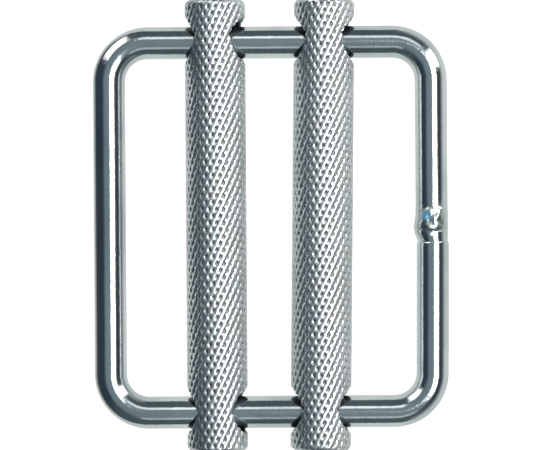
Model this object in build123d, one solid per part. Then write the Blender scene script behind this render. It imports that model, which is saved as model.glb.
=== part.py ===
from build123d import *
from math import cos, radians, sin, sqrt
import os

# Slide buckle for flat webbing: a rectangle of bent round wire, welded shut in the middle of one side,
# with two knurled round bars threaded on its two cross wires. The bars slide along these wires.
# It lies flat on its bars. X runs along the cross wires, Y along the bars and Z is up. The origin is on
# the surface that it lies on, under the middle of the bars. Lengths are in millimetres, angles in degrees.

# The webbing, and the room beside each of its edges
webbing_width = 50.0
webbing_side_room = 1.2

# The wire frame
wire_diameter = 5.0
frame_length = 55.0          # outside, over the two side wires
bend_radius = 6.0            # of the wire's centre line at the four corners

# The butt weld that closes the wire, on the right side wire
weld_y = 0.1                 # from the frame's middle, along the side wire
weld_gap = 1.0               # between the two wire ends, filled by the bead
weld_step = 0.25             # the lower end stands this much further out than the upper one
bead_length = 5.8
bead_diameter = 5.3
bead_end_diameter = 4.4      # sunk in the wire, so that the bead rises out of it
bead_offset = 0.2            # the molten metal ran towards the window

# The two bars
bar_diameter = 9.4           # over the crests of the knurl
bar_overhang = 6.3           # from the middle of the wire to the bar's end
bar_end_rounding = 1.2
hole_play = 2.5              # the cross hole is this much wider than the wire
hole_edge_break = 0.2

# How the loose pieces lie in one another
left_bar_x = -8.45
right_bar_x = 8.0
left_bar_roll = 5.8          # about the bar's own axis: the right mouths of its holes look up
right_bar_roll = 2.0
left_bar_skew = 0.0          # seen from above, the bar's far end turned to the right
right_bar_skew = 0.85
frame_shift = -0.33          # of the frame along the bars, within the play of the holes
seat_gap = 0.15              # between the wire and the holes' lowest wall

wire_radius = wire_diameter / 2
bar_radius = bar_diameter / 2
hole_radius = wire_radius + hole_play / 2
wire_spacing = webbing_width + 2 * webbing_side_room + wire_diameter
bar_length = wire_spacing + 2 * bar_overhang


# How high the wire's middle is where it touches a rolled bar, on the lower wall of its cross hole,
# at the mouth that the roll lifts
def touching_height(roll):
    half_chord = sqrt(bar_radius ** 2 - hole_radius ** 2)
    drop = sqrt((hole_play / 2) ** 2 - frame_shift ** 2)
    return bar_radius + half_chord * sin(radians(roll)) - drop * cos(radians(roll))


wire_height = max(touching_height(left_bar_roll), touching_height(right_bar_roll)) + seat_gap


# The bent wire runs from the weld's upper side round the frame to its lower side
def bent_wire():
    side_x = frame_length / 2 - wire_radius
    far_y = frame_shift + wire_spacing / 2
    near_y = frame_shift - wire_spacing / 2
    join_y = frame_shift + weld_y
    corners = [
        (side_x, join_y + weld_gap / 2, wire_height),
        (side_x, far_y, wire_height),
        (-side_x, far_y, wire_height),
        (-side_x, near_y, wire_height),
        (side_x, near_y, wire_height),
        (side_x + weld_step, join_y - weld_gap / 2, wire_height),
    ]
    centre_line = FilletPolyline(*corners, radius=bend_radius)
    section = Plane(origin=corners[0], z_dir=(0, 1, 0)) * Circle(wire_radius)
    return sweep(section, path=centre_line)


# The bead is a low barrel round the joint, its axis moved towards the window
def weld_bead():
    side_x = frame_length / 2 - wire_radius
    half_length = bead_length / 2
    end_radius = bead_end_diameter / 2
    outline = Polyline(
        (end_radius, half_length), (0, half_length), (0, -half_length), (end_radius, -half_length)
    ) + ThreePointArc((end_radius, -half_length), (bead_diameter / 2, 0), (end_radius, half_length))
    barrel = revolve(make_face(outline), axis=Axis.Y)
    return Pos(side_x - bead_offset, frame_shift + weld_y, wire_height) * barrel


def wire_frame():
    return bent_wire() + weld_bead()


# One bar at rest: drilled across near both ends, rolled about its axis, skewed and set down at its place
def bar(place_x, roll, skew):
    rod = Rot(90, 0, 0) * Cylinder(bar_radius, bar_length)
    end_rims = [edge for edge in rod.edges() if edge.geom_type == GeomType.CIRCLE]
    rod = fillet(end_rims, bar_end_rounding)
    for side in (-1, 1):
        rod -= Pos(0, side * wire_spacing / 2, 0) * Rot(0, 90, 0) * Cylinder(hole_radius, 2 * bar_diameter)
    mouths = [edge for edge in rod.edges() if edge.geom_type not in (GeomType.CIRCLE, GeomType.LINE)]
    rod = chamfer(mouths, hole_edge_break)
    return Pos(place_x, 0, bar_radius) * Rot(0, 0, -skew) * Rot(0, -roll, 0) * rod


pieces = {
    "wire_frame": wire_frame(),
    "left_bar": bar(left_bar_x, left_bar_roll, left_bar_skew),
    "right_bar": bar(right_bar_x, right_bar_roll, right_bar_skew),
}

os.makedirs("parts", exist_ok=True)
for name, solid in pieces.items():
    export_step(solid, f"parts/{name}.step")
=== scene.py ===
from math import cos, degrees, pi, radians, sin, sqrt

import bmesh
import bpy
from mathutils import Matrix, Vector


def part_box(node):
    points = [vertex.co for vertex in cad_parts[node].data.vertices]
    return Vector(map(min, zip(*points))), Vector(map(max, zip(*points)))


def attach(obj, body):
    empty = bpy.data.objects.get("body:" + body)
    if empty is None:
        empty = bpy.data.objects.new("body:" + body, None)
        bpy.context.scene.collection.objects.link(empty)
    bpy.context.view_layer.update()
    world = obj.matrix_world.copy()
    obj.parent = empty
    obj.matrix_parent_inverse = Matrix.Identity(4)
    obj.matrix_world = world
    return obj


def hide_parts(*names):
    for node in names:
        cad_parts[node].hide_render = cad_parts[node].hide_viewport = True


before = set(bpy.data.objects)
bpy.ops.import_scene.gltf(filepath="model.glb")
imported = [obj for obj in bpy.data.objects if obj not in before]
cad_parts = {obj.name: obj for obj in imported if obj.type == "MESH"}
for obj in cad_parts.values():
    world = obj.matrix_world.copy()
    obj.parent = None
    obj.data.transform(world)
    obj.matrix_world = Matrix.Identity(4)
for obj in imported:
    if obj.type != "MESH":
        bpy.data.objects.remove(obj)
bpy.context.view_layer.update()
mm = 0.001

wireLow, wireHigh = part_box("wire_frame")


# selecting, and the small habits of the edit window

def startFresh():
    bpy.ops.object.select_all(action="DESELECT")


def takeUp(piece):
    startFresh()
    piece.select_set(True)
    bpy.context.view_layer.objects.active = piece


def edit(piece):
    takeUp(piece)
    bpy.ops.object.mode_set(mode="EDIT")
    bpy.ops.mesh.select_mode(type="VERT")


def done():
    bpy.ops.object.mode_set(mode="OBJECT")


def pick(kind, wanted):
    # selects the vertices or edges that pass the test
    bpy.ops.mesh.select_mode(type=kind)
    bpy.ops.mesh.select_all(action="DESELECT")
    data = bpy.context.edit_object.data
    mesh = bmesh.from_edit_mesh(data)
    for part in {"VERT": mesh.verts, "EDGE": mesh.edges}[kind]:
        if wanted(part):
            part.select_set(True)
    mesh.select_flush_mode()
    bmesh.update_edit_mesh(data)


def named(name):
    # the object that was just added
    piece = bpy.context.object
    piece.name = name
    piece.data.name = name
    return piece


def applied(piece, kind, **settings):
    takeUp(piece)
    modifier = piece.modifiers.new(kind.title(), kind)
    for key, value in settings.items():
        setattr(modifier, key, value)
    bpy.ops.object.modifier_apply(modifier=modifier.name)


def cutBy(piece, tool, operation):
    # the tool is used up
    applied(piece, "BOOLEAN", operation=operation, object=tool, solver="EXACT")
    bpy.data.objects.remove(tool)


def settled(piece):
    # the object goes to the origin, unturned, with its place in its mesh
    takeUp(piece)
    bpy.ops.object.transform_apply(location=True, rotation=True, scale=True)


def closedUp(piece, reach):
    edit(piece)
    bpy.ops.mesh.select_all(action="SELECT")
    bpy.ops.mesh.remove_doubles(threshold=reach)
    bpy.ops.mesh.normals_make_consistent(inside=False)
    done()


def inFixedOrder(piece, spots):
    # extrude numbers faces and edges in another order on each run, and random draws follow it:
    # the faces are sorted by how far they are from these spots, and the edges made anew
    edit(piece)
    bpy.ops.mesh.select_all(action="SELECT")
    for spot in spots:
        bpy.context.scene.cursor.location = Vector(spot) * mm
        bpy.ops.mesh.sort_elements(type="CURSOR_DISTANCE", elements={"FACE"})
    done()
    bpy.context.scene.cursor.location = (0, 0, 0)
    places = [vert.co.copy() for vert in piece.data.vertices]
    faces = [list(face.vertices) for face in piece.data.polygons]
    piece.data.clear_geometry()
    piece.data.from_pydata(places, [], faces)


# shader maths as plain expressions

mixFactor, mixFirst, mixSecond, mixResult = 0, 6, 7, 2      # a Mix node's sockets for colours


class Signal:
    def __init__(self, tree, socket=None):
        self.tree = tree
        self.socket = socket

    def node(self, kind, settings=None, inputs=None, output=0):
        made = self.tree.nodes.new(kind)
        for key, value in (settings or {}).items():
            setattr(made, key, value)
        for key, value in (inputs or {}).items():
            if isinstance(value, Signal):
                self.tree.links.new(value.socket, made.inputs[key])
            else:
                made.inputs[key].default_value = value
        return Signal(self.tree, made.outputs[output] if made.outputs else None)

    def maths(self, operation, *values):
        return self.node("ShaderNodeMath", {"operation": operation}, dict(enumerate(values)))

    def __add__(self, other):
        return self.maths("ADD", self, other)

    def __radd__(self, other):
        return self.maths("ADD", other, self)

    def __sub__(self, other):
        return self.maths("SUBTRACT", self, other)

    def __rsub__(self, other):
        return self.maths("SUBTRACT", other, self)

    def __mul__(self, other):
        return self.maths("MULTIPLY", self, other)

    def __rmul__(self, other):
        return self.maths("MULTIPLY", other, self)

    def __abs__(self):
        return self.maths("ABSOLUTE", self)

    def rise(self, low, high):
        # 0 at low, 1 at high, smooth between, and falling where low is the larger one
        return self.node("ShaderNodeMapRange", {"interpolation_type": "SMOOTHSTEP"},
                         {"Value": self, "From Min": low, "From Max": high})

    def riseInMm(self, low, high):
        return self.rise(low * mm, high * mm)

    def blend(self, first, second):
        # first where this is 0, second where it is 1
        return self.node("ShaderNodeMix", {"data_type": "RGBA"},
                         {mixFactor: self, mixFirst: first, mixSecond: second}, mixResult)

    def grain(self, scale):
        # noise over this place, finer with a higher scale
        return self.node("ShaderNodeTexNoise", None,
                         {"Vector": self, "Scale": scale, "Detail": 2.0})

    def parts(self):
        # a direction or a place as three numbers
        made = self.node("ShaderNodeSeparateXYZ", None, {"Vector": self})
        return [Signal(self.tree, socket) for socket in made.socket.node.outputs]


def colour(red, green, blue):
    return (red, green, blue, 1)


def material(name):
    made = bpy.data.materials.new(name)
    made.use_nodes = True
    made.node_tree.nodes.clear()
    return made, Signal(made.node_tree)


def dress(piece, made):
    piece.data.materials.clear()
    piece.data.materials.append(made)


# the camera looks straight down on the buckle, from where the photograph was taken

camera = {
    "lens": 150.0,
    "sensor": 36.0,
    "clipStart": 0.01,           # metres
    "across": -0.14,             # mm, of the point that it looks at
    "along": 0.0,
    "height": 4.5,
    "distance": 349.0,           # mm above that point
    "lean": -0.4,                # degrees, about the line of sight
}

lookAt = Vector((camera["across"] * mm, camera["along"] * mm, camera["height"] * mm))
bpy.ops.object.camera_add(location=lookAt + Vector((0, 0, camera["distance"] * mm)),
                          rotation=(0, 0, radians(camera["lean"])))
eye = named("studioCamera")
eye.data.lens = camera["lens"]
eye.data.sensor_width = camera["sensor"]
eye.data.clip_start = camera["clipStart"]
bpy.context.scene.camera = eye
bpy.context.scene.view_settings.view_transform = "Standard"
print("camera set")


# the light tent, as seen from the buckle
# azimuth is counted from +X towards +Y, height from straight up, both in degrees

tent = {
    "top": (0.21, 0.27, 0.30),
    "sides": (0.035, 0.055, 0.075),
    "ends": (0.085, 0.12, 0.13),         # its far and near walls
    "endFade": (60, 30),                 # away from straight far or straight near
    "topFade": (24, 50),                 # where the top passes into the walls
    "rim": (0.48, 0.51, 0.52),           # a paler band low on the right
    "rimFade": (62, 86),
    "rimMiddle": 5,
    "rimSpread": (85, 60),
}

# paper panels in it, each one over those before it
tentPanels = {
    "coolEdge": dict(azimuth=0, half=30, near=3, far=14, soft=5,
                     light=0.5, tint=(0.50, 0.80, 1.10)),
    "goldEdge": dict(azimuth=0, half=34, near=30, far=43, soft=5,
                     light=0.5, tint=(1.0, 0.80, 0.48)),
    "key": dict(azimuth=0, half=34, near=9, far=35, soft=5,
                light=7.5, tint=(1.0, 1.0, 0.97)),
    "keyEdge": dict(azimuth=29, half=10, near=22, far=78, soft=6,
                    light=3.0, tint=(0.97, 1.0, 1.0)),
    "farLeft": dict(azimuth=133, half=16, near=42, far=112, soft=7,
                    light=2.0, tint=(0.98, 1.0, 1.0)),
    "far": dict(azimuth=78, half=28, near=25, far=40, soft=6,
                light=1.25, tint=(0.95, 1.0, 1.0)),
    "near": dict(azimuth=-82, half=23, near=34, far=48, soft=7,
                 light=0.62, tint=(0.86, 0.97, 1.0)),
}


def lightTent():
    world = bpy.data.worlds.new("lightTent")
    world.use_nodes = True
    world.node_tree.nodes.clear()
    air = Signal(world.node_tree)
    east, north, up = air.node("ShaderNodeTexCoord", output="Generated").parts()
    azimuth = air.maths("ARCTAN2", north, east) * degrees(1)
    height = air.maths("ARCCOSINE", up) * degrees(1)

    farOrNear = abs(abs(azimuth) - 90).rise(*tent["endFade"])
    walls = farOrNear.blend(colour(*tent["sides"]), colour(*tent["ends"]))
    inner = height.rise(*tent["topFade"]).blend(colour(*tent["top"]), walls)
    onTheRight = abs(azimuth - tent["rimMiddle"]).rise(*tent["rimSpread"])
    rim = height.rise(*tent["rimFade"]) * onTheRight
    sky = rim.blend(inner, colour(*tent["rim"]))
    for panel in tentPanels.values():
        edge = panel["soft"] / 2
        across = abs(azimuth - panel["azimuth"]).rise(panel["half"] + edge, panel["half"] - edge)
        beyond = height.rise(panel["near"] - edge, panel["near"] + edge)
        within = height.rise(panel["far"] + edge, panel["far"] - edge)
        tint = [panel["light"] * share for share in panel["tint"]]
        sky = (across * beyond * within).blend(sky, colour(*tint))

    # the camera itself sees white paper
    seen = air.node("ShaderNodeLightPath", output="Is Camera Ray")
    shown = seen.blend(sky, colour(1, 1, 1))
    glow = air.node("ShaderNodeBackground", None, {"Color": shown, "Strength": 1.0})
    air.node("ShaderNodeOutputWorld", None, {"Surface": glow})
    bpy.context.scene.world = world


# two sheets under the buckle: one that the camera sees, and one that only lights the metal

table = {
    "size": 4.0,                         # metres
    "paper": (0.5, 0.5, 0.5),
    "paperGlow": 0.9,
    "underDrop": 0.5,                    # mm below the table top
    "underDark": (0.05, 0.06, 0.07),     # left of the buckle
    "underLight": (0.73, 0.77, 0.75),
    "underFade": (-46.0, -27.0),         # where the dark passes into the light, in mm across
}


def paperSheet(name, height):
    startFresh()
    bpy.ops.mesh.primitive_plane_add(size=table["size"], location=(0, 0, height))
    return named(name)


def tableTop():
    floor = paperSheet("floor", 0)
    paper, sheet = material("whitePaper")
    glow = sheet.node("ShaderNodeEmission", None,
                      {"Color": colour(1, 1, 1), "Strength": table["paperGlow"]})
    matt = sheet.node("ShaderNodeBsdfDiffuse", None, {"Color": colour(*table["paper"])})
    both = sheet.node("ShaderNodeAddShader", None, {0: glow, 1: matt})
    sheet.node("ShaderNodeOutputMaterial", None, {"Surface": both})
    dress(floor, paper)
    floor.visible_glossy = False

    under = paperSheet("underLight", -table["underDrop"] * mm)
    paper, sheet = material("underLightPaper")
    east = sheet.node("ShaderNodeTexCoord", output="Object").parts()[0]
    lit = east.riseInMm(*table["underFade"])
    strength = lit.blend(colour(*table["underDark"]), colour(*table["underLight"]))
    glow = sheet.node("ShaderNodeEmission", None, {"Color": strength, "Strength": 1.0})
    sheet.node("ShaderNodeOutputMaterial", None, {"Surface": glow})
    dress(under, paper)
    under.visible_camera = False


lightTent()
tableTop()
print("light tent and table top set")


# the bent wire: lengths in mm, along it from the notch where its weld ends
# upper and lower are as in the photograph, towards +Y and -Y

wire = {
    "diameter": 5.0,
    "bendRadius": 6.0,           # of the centre line
    "sides": 64,                 # round the wire
    "bendSteps": 28,
    "weldedSideRings": 8,        # in each half of the welded side wire
    "crossRings": 12,            # in a cross wire
    "plainSideRings": 16,
    "weldAlong": -2.46,          # the notch, from the frame's middle
    "notchWidth": 4.6,
    "notchHeight": 4.93,
    "endOut": 0.14,              # the lower end stands this much further out
    "plainBeforeWeld": 0.8,      # from the lower end's last plain ring to its first weld ring
    "hair": 0.004,               # closer than this is the same place
    "sortSpots": ((25.1, -2.8, 0.3), (-9.3, 37.7, 4.2)),     # with no two faces equally far
    # the weld's rings above and below the notch: along, width, height
    "upperRings": ((0.06, 4.64, 4.92), (0.25, 4.72, 4.97), (0.50, 4.83, 4.99), (1.00, 5.05, 5.00),
                   (1.45, 5.21, 5.02), (1.66, 5.24, 5.00), (1.74, 5.16, 4.86), (1.84, 5.25, 5.04),
                   (2.00, 5.31, 5.24), (2.40, 5.33, 5.32), (3.00, 5.22, 5.30), (3.60, 5.10, 5.26),
                   (4.20, 5.02, 5.22), (4.75, 5.02, 5.18), (5.05, 5.02, 5.12), (5.25, 5.00, 5.04),
                   (5.50, 5.00, 5.00)),
    "lowerRings": ((0.80, 5.00, 5.00), (0.30, 5.00, 5.00), (0.12, 4.98, 4.99), (0.04, 4.88, 4.95)),
    # above the notch the mesh is finer, and the bead is dimpled and lumpy
    "fineStretch": (0.4, 5.3),
    "fineCuts": 2,
    "beadStretch": (2.05, 5.1),
    "dimple": 0.016,
    "dimpleSeed": 5,
    "lumpOut": 1.05,             # place of a lump's middle, as a share of the wire's radius
    "lumpCore": 0.22,
    "lumpSpread": 0.5,
    # along, degrees round from +X, height above or below
    "lumps": ((4.95, 60, 0.09), (4.88, 104, 0.09), (4.45, 84, -0.10), (4.05, 68, 0.06),
              (3.90, 100, -0.08), (3.55, 84, 0.05), (3.15, 98, -0.09), (2.95, 60, -0.06),
              (2.60, 76, 0.06), (2.42, 105, 0.10), (4.40, 118, 0.05), (3.40, 118, 0.05),
              (1.05, 106, 0.06)),
}


def wireFrame():
    outer = wire["diameter"] / 2
    radius = outer * mm
    bend = wire["bendRadius"] * mm
    height = (wireLow.z + wireHigh.z) / 2
    leftX = wireLow.x + radius
    rightX = -leftX
    farY = wireHigh.y - radius
    nearY = wireLow.y + radius
    notchY = (farY + nearY) / 2 + wire["weldAlong"] * mm

    def chosen():
        # the places of the selected ring
        mesh = bmesh.from_edit_mesh(bpy.context.edit_object.data)
        return [vert.co.copy() for vert in mesh.verts if vert.select]

    def middle():
        spots = chosen()
        return sum(spots, Vector()) / len(spots)

    def straight(toX, toY, rings):
        step = (Vector((toX, toY, height)) - middle()) / rings
        for ring in range(rings):
            bpy.ops.mesh.extrude_region_move(TRANSFORM_OT_translate={"value": step})

    def corner(x, y):
        bpy.ops.mesh.spin(steps=wire["bendSteps"], angle=-radians(90),
                          center=(x, y, height), axis=(0, 0, 1))

    def resized(width, tall):
        # brings the selected ring to this width and height
        spots = chosen()
        nowWide = max(spot.x for spot in spots) - min(spot.x for spot in spots)
        nowTall = max(spot.z for spot in spots) - min(spot.z for spot in spots)
        bpy.ops.transform.resize(value=(width * mm / nowWide, 1, tall * mm / nowTall),
                                 center_override=middle())

    def collar(away, width, tall, out):
        # the next ring of the weld, its outer side this far from the wire's middle
        straight(rightX + (out - width / 2) * mm, notchY + away * mm, 1)
        resized(width, tall)

    def pickStretch(stretch):
        # the welded side wire's vertices between these two places
        low, high = (notchY + end * mm for end in stretch)
        pick("VERT", lambda vert: vert.co.x > 0 and low < vert.co.y < high)

    startFresh()
    bpy.ops.mesh.primitive_circle_add(vertices=wire["sides"], radius=radius,
                                      location=(rightX, notchY, height),
                                      rotation=(radians(90), 0, 0))
    piece = named("bentWire")
    settled(piece)
    edit(piece)
    bpy.ops.mesh.select_all(action="SELECT")
    bpy.ops.transform.translate(value=((outer - wire["notchWidth"] / 2) * mm, 0, 0))
    resized(wire["notchWidth"], wire["notchHeight"])
    for away, width, tall in wire["upperRings"]:
        collar(away, width, tall, outer)
    straight(rightX, farY - bend, wire["weldedSideRings"])
    corner(rightX - bend, farY - bend)
    straight(leftX + bend, farY, wire["crossRings"])
    corner(leftX + bend, farY - bend)
    straight(leftX, nearY + bend, wire["plainSideRings"])
    corner(leftX + bend, nearY + bend)
    straight(rightX - bend, nearY, wire["crossRings"])
    corner(rightX - bend, nearY + bend)
    lastPlain = wire["lowerRings"][0][0] + wire["plainBeforeWeld"]
    straight(rightX + wire["endOut"] * mm, notchY - lastPlain * mm, wire["weldedSideRings"])
    for away, width, tall in wire["lowerRings"]:
        collar(-away, width, tall, outer + wire["endOut"])
    collar(0, wire["notchWidth"], wire["notchHeight"], outer)
    done()
    closedUp(piece, wire["hair"] * mm)
    inFixedOrder(piece, wire["sortSpots"])

    # the weld's surface
    edit(piece)
    pickStretch(wire["fineStretch"])
    bpy.ops.mesh.subdivide(number_cuts=wire["fineCuts"])
    pickStretch(wire["beadStretch"])
    bpy.ops.transform.vertex_random(offset=wire["dimple"] * mm, uniform=0.0, normal=1.0,
                                    seed=wire["dimpleSeed"])
    for along, around, rise in wire["lumps"]:
        out = Vector((cos(radians(around)), 0, sin(radians(around))))
        spot = Vector((rightX, notchY + along * mm, height)) + out * radius * wire["lumpOut"]
        pick("VERT", lambda vert: (vert.co - spot).length < wire["lumpCore"] * mm)
        bpy.ops.transform.translate(value=out * rise * mm, use_proportional_edit=True,
                                    proportional_edit_falloff="SMOOTH",
                                    proportional_size=wire["lumpSpread"] * mm)
    done()
    return piece


bentWire = wireFrame()
print("wire bent,", len(bentWire.data.polygons), "faces")


# the knurled bars, worked in millimetres and brought to metres when they are placed

bar = {
    "diameter": 9.4,             # over the crests
    "length": 70.0,
    "starts": 25,                # ridges of each hand round the bar
    "rows": 36,                  # of diamonds along the bar
    "diamondLength": 2.07,
    "depth": 0.22,               # of the valleys between the right hand ridges
    "crossing": 0.65,            # share of it that a left hand ridge fills
    # a diamond's grid, one row after another from its edge to its middle: its place on the
    # plain grid, its new place and its share of the depth
    "gridSteps": 7,
    "profile": ((0.5, 0.5, 1.0), (5 / 14, 0.40, 0.84), (3 / 14, 0.26, 0.35), (1 / 14, 0.11, 0.02)),
    "capLength": 1.0,            # of the cones that close the tube, cut off later
    "hair": 0.01,                # closer than this is the same place
    "sides": 128,                # of the rod that the tube is cut to
    "clearance": 0.05,           # of that rod over the crests
    "endRounding": 1.2,
    "roundingSteps": 6,
    "holeDiameter": 7.5,
    "holeSides": 96,
    "drillLength": 20.0,
}

# roll and skew in degrees as in the solids, and how far each bar's knurl is shifted along it
barPlaces = {
    "left_bar": dict(roll=5.8, skew=0.0, shift=0.885),
    "right_bar": dict(roll=2.0, skew=0.85, shift=-0.85),
}


def knurledTube():
    # one diamond of the knurl, flat, its ridges crossing in its middle and its pits at its corners
    radius = bar["diameter"] / 2
    pitch = 2 * pi * radius / bar["starts"]
    length = bar["diamondLength"]
    hair = bar["hair"]
    startFresh()
    bpy.ops.mesh.primitive_grid_add(x_subdivisions=bar["gridSteps"], size=1,
                                    y_subdivisions=bar["gridSteps"], location=(0, 0, 0))
    piece = named("knurl")
    edit(piece)
    for place, share, drop in bar["profile"]:
        pick("VERT", lambda vert: abs(abs(vert.co.y) - place) < hair)
        bpy.ops.transform.resize(value=(1, share / place, 1), center_override=(0, 0, 0))
        bpy.ops.transform.translate(value=(0, 0, -bar["depth"] * drop))
    for place, share, drop in bar["profile"]:
        pick("VERT", lambda vert: abs(abs(vert.co.x) - place) < hair)
        left = 1 - bar["crossing"] * (1 - drop)
        bpy.ops.transform.resize(value=(share / place, 1, left), center_override=(0, 0, 0))
    done()
    piece.rotation_euler = (0, 0, radians(45))
    settled(piece)
    piece.scale = (pitch / sqrt(2), length / sqrt(2), 1)
    settled(piece)

    # copied to the gap beside it, then round the bar and along it
    for count, offset in ((2, (pitch / 2, length / 2, 0)), (bar["starts"], (pitch, 0, 0)),
                          (bar["rows"], (0, length, 0))):
        applied(piece, "ARRAY", count=count, use_relative_offset=False,
                use_constant_offset=True, constant_offset_displace=offset)
    closedUp(piece, hair)
    print("one diamond copied,", len(piece.data.polygons), "faces")

    # rolled into a tube round Y
    across = pitch * (bar["starts"] + 0.5)
    piece.location = (pitch / 2 - across / 2, length / 2 - length * (bar["rows"] + 0.5) / 2, 0)
    settled(piece)
    piece.rotation_euler = (0, radians(-90), 0)
    settled(piece)
    applied(piece, "SIMPLE_DEFORM", deform_method="BEND", deform_axis="Y",
            angle=2 * pi * across / (pitch * bar["starts"]))
    piece.location = (-radius, 0, 0)
    settled(piece)
    closedUp(piece, hair)

    # closed at both ends
    edit(piece)
    end = length * (bar["rows"] + 0.5) / 2 + bar["capLength"]
    for side in (-1, 1):
        pick("EDGE", lambda edge: edge.is_boundary and side * edge.verts[0].co.y > 0)
        out = (0, side * bar["capLength"], 0)
        bpy.ops.mesh.extrude_region_move(TRANSFORM_OT_translate={"value": out})
        bpy.ops.transform.resize(value=(1, 0, 1), center_override=(0, side * end, 0))
        bpy.ops.mesh.edge_face_add()
    done()
    closedUp(piece, hair)
    return piece


def roundedRod():
    # the plain rod that the tube is cut to
    startFresh()
    bpy.ops.mesh.primitive_cylinder_add(vertices=bar["sides"], depth=bar["length"],
                                        radius=bar["diameter"] / 2 + bar["clearance"],
                                        rotation=(radians(90), 0, 0))
    rod = named("rod")
    settled(rod)
    edit(rod)
    rims = bar["length"] - bar["hair"]
    pick("EDGE", lambda edge: abs(edge.verts[0].co.y + edge.verts[1].co.y) > rims)
    bpy.ops.mesh.bevel(offset=bar["endRounding"], segments=bar["roundingSteps"], affect="EDGES")
    done()
    return rod


def knurledBar(tube, name, node):
    # a copy of the tube, shifted to its own start, cut to length, drilled and set in its place
    own = barPlaces[node]
    piece = tube.copy()
    piece.data = tube.data.copy()
    bpy.context.scene.collection.objects.link(piece)
    piece.name = name
    piece.data.name = name
    piece.location = (0, own["shift"], 0)
    settled(piece)
    cutBy(piece, roundedRod(), "INTERSECT")
    spacing = (wireHigh.y - wireLow.y) / mm - wire["diameter"]
    for side in (-1, 1):
        startFresh()
        bpy.ops.mesh.primitive_cylinder_add(vertices=bar["holeSides"], depth=bar["drillLength"],
                                            radius=bar["holeDiameter"] / 2,
                                            location=(0, side * spacing / 2, 0),
                                            rotation=(0, radians(90), 0))
        drill = named("drill")
        settled(drill)
        cutBy(piece, drill, "DIFFERENCE")
    low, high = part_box(node)
    piece.rotation_euler = (0, radians(-own["roll"]), 0)
    settled(piece)
    piece.rotation_euler = (0, 0, radians(-own["skew"]))
    piece.scale = (mm, mm, mm)
    piece.location = (low + high) / 2
    settled(piece)
    print(name, sum(len(face.vertices) - 2 for face in piece.data.polygons), "triangles")
    return piece


knurl = knurledTube()
leftBar = knurledBar(knurl, "leftKnurledBar", "left_bar")
rightBar = knurledBar(knurl, "rightKnurledBar", "right_bar")
bpy.data.objects.remove(knurl)


# finishes: grains are finer with a higher number, lengths and places are in mm

wirePlating = {
    "clean": (0.72, 0.75, 0.76),
    "cloudy": (0.58, 0.62, 0.64),
    "cloudGrain": 110.0,
    "cloudEdge": (0.35, 0.7),
    "roughness": 0.10,
    "dullEdge": (0.3, 0.8),
    "dullInClouds": 0.06,        # more roughness there
    "waveGrain": 1400.0,         # faint waves in the mirror
    "waveStrength": 0.5,
    "waveHeight": 0.03,
    # heat colours on the weld, where it looks up
    "heatAt": 0.8,
    "heatAlong": (2.2, 1.4),
    "heatAcross": (20.0, 21.0),
    "heatUp": (4.8, 5.8),
    "heatGrain": 700.0,
    "heatEdge": (0.42, 0.6),
    "straw": (0.52, 0.56, 0.46),
    "steelBlue": (0.46, 0.54, 0.62),
    "heatShare": 0.6,
    "dullByHeat": 0.12,
    # the bright blue patch in them
    "blue": (0.26, 0.60, 0.86),
    "blueAt": (23.9, 1.3),
    "blueAcross": (0.7, 0.3),
    "blueAlong": (1.0, 0.5),
    "dullInBlue": 0.3,
    "wanderGrain": 900.0,        # the edges of both wander by this much
    "wander": 1.2,
}


def platedWire():
    own = wirePlating
    made, skin = material("platedWire")
    place = skin.node("ShaderNodeTexCoord", output="Object")
    east, north, up = place.parts()
    clouds = place.grain(own["cloudGrain"])
    tone = clouds.rise(*own["cloudEdge"]).blend(colour(*own["clean"]), colour(*own["cloudy"]))

    wander = (place.grain(own["wanderGrain"]) - 0.5) * (own["wander"] * mm)
    weldAlong = abs(north - own["heatAt"] * mm + wander).riseInMm(*own["heatAlong"])
    weld = weldAlong * east.riseInMm(*own["heatAcross"]) * up.riseInMm(*own["heatUp"])
    heat = place.grain(own["heatGrain"]).rise(*own["heatEdge"])
    tints = heat.blend(colour(*own["straw"]), colour(*own["steelBlue"]))
    tone = (weld * own["heatShare"]).blend(tone, tints)

    blueX, blueY = (spot * mm for spot in own["blueAt"])
    blueAlong = abs(north - blueY + wander).riseInMm(*own["blueAlong"])
    blue = blueAlong * abs(east - blueX + wander).riseInMm(*own["blueAcross"]) * weld
    tone = blue.blend(tone, colour(*own["blue"]))

    dull = own["roughness"] + clouds.rise(*own["dullEdge"]) * own["dullInClouds"]
    dull = dull + weld * own["dullByHeat"] + blue * own["dullInBlue"]
    relief = skin.node("ShaderNodeBump", None,
                       {"Strength": own["waveStrength"], "Distance": own["waveHeight"] * mm,
                        "Height": place.grain(own["waveGrain"])})
    shader = skin.node("ShaderNodeBsdfPrincipled", None,
                       {"Base Color": tone, "Metallic": 1.0, "Roughness": dull,
                        "Normal": relief})
    skin.node("ShaderNodeOutputMaterial", None, {"Surface": shader})
    return made


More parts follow.
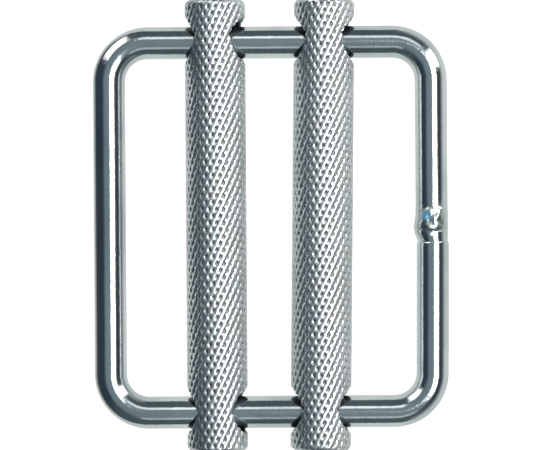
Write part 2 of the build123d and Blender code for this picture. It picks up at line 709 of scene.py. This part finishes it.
knurlPlating = {
    "clean": (0.74, 0.76, 0.77),
    "cloudy": (0.63, 0.66, 0.67),
    "cloudGrain": 160.0,
    "cloudEdge": (0.35, 0.7),
    "roughness": 0.31,           # of the ridges
    "dullEdge": (0.4, 0.7),
    "dullInClouds": 0.05,
    # the pits are darker: painted shade in the hollows together with dirt, and brown here and
    # there
    "pitDepths": (0.05, 0.18),   # where the darkening starts and where it is full
    "pitShadeShare": 0.9,
    "pitRoughness": 0.26,
    "pitShadeGrey": (0.22, 0.26, 0.30),
    "pitBrown": (0.33, 0.29, 0.22),
    "brownGrain": 300.0,
    "brownEdge": (0.45, 0.65),
}


def platedKnurl(name, node):
    own = knurlPlating
    low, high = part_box(node)
    made, skin = material(name)
    place = skin.node("ShaderNodeTexCoord", output="Object")
    centred = skin.node("ShaderNodeMapping", {"vector_type": "TEXTURE"},
                        {"Vector": place, "Location": (low + high) / 2,
                         "Rotation": (0, 0, radians(-barPlaces[node]["skew"]))})
    across, along, upward = centred.parts()
    reach = skin.maths("SQRT", across * across + upward * upward)
    start, full = (bar["diameter"] / 2 - depth for depth in own["pitDepths"])
    half = bar["length"] / 2
    inside = abs(along).riseInMm(half, half - bar["endRounding"])      # not on the cut ends
    pit = reach.riseInMm(start, full) * inside

    clouds = place.grain(own["cloudGrain"])
    clean = clouds.rise(*own["cloudEdge"]).blend(colour(*own["clean"]), colour(*own["cloudy"]))
    brown = place.grain(own["brownGrain"]).rise(*own["brownEdge"])
    # painted shade and dirt in the pits: dark grey, brown here and there, laid on more the deeper
    # the surface lies
    shadeAndStain = brown.blend(colour(*own["pitShadeGrey"]), colour(*own["pitBrown"]))
    tone = (pit * own["pitShadeShare"]).blend(clean, shadeAndStain)
    dull = own["roughness"] - pit * (own["roughness"] - own["pitRoughness"])
    dull = dull + clouds.rise(*own["dullEdge"]) * own["dullInClouds"]
    shader = skin.node("ShaderNodeBsdfPrincipled", None,
                       {"Base Color": tone, "Metallic": 1.0, "Roughness": dull})
    skin.node("ShaderNodeOutputMaterial", None, {"Surface": shader})
    return made


smoothUnder = 38                 # degrees: sharper edges stay sharp

dress(bentWire, platedWire())
dress(leftBar, platedKnurl("leftKnurlPlating", "left_bar"))
dress(rightBar, platedKnurl("rightKnurlPlating", "right_bar"))
for piece in (bentWire, leftBar, rightBar):
    takeUp(piece)
    bpy.ops.object.shade_smooth_by_angle(angle=radians(smoothUnder))
print("pieces plated")

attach(bentWire, "frame")
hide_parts("wire_frame")
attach(leftBar, "left_bar")
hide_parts("left_bar")
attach(rightBar, "right_bar")
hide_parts("right_bar")
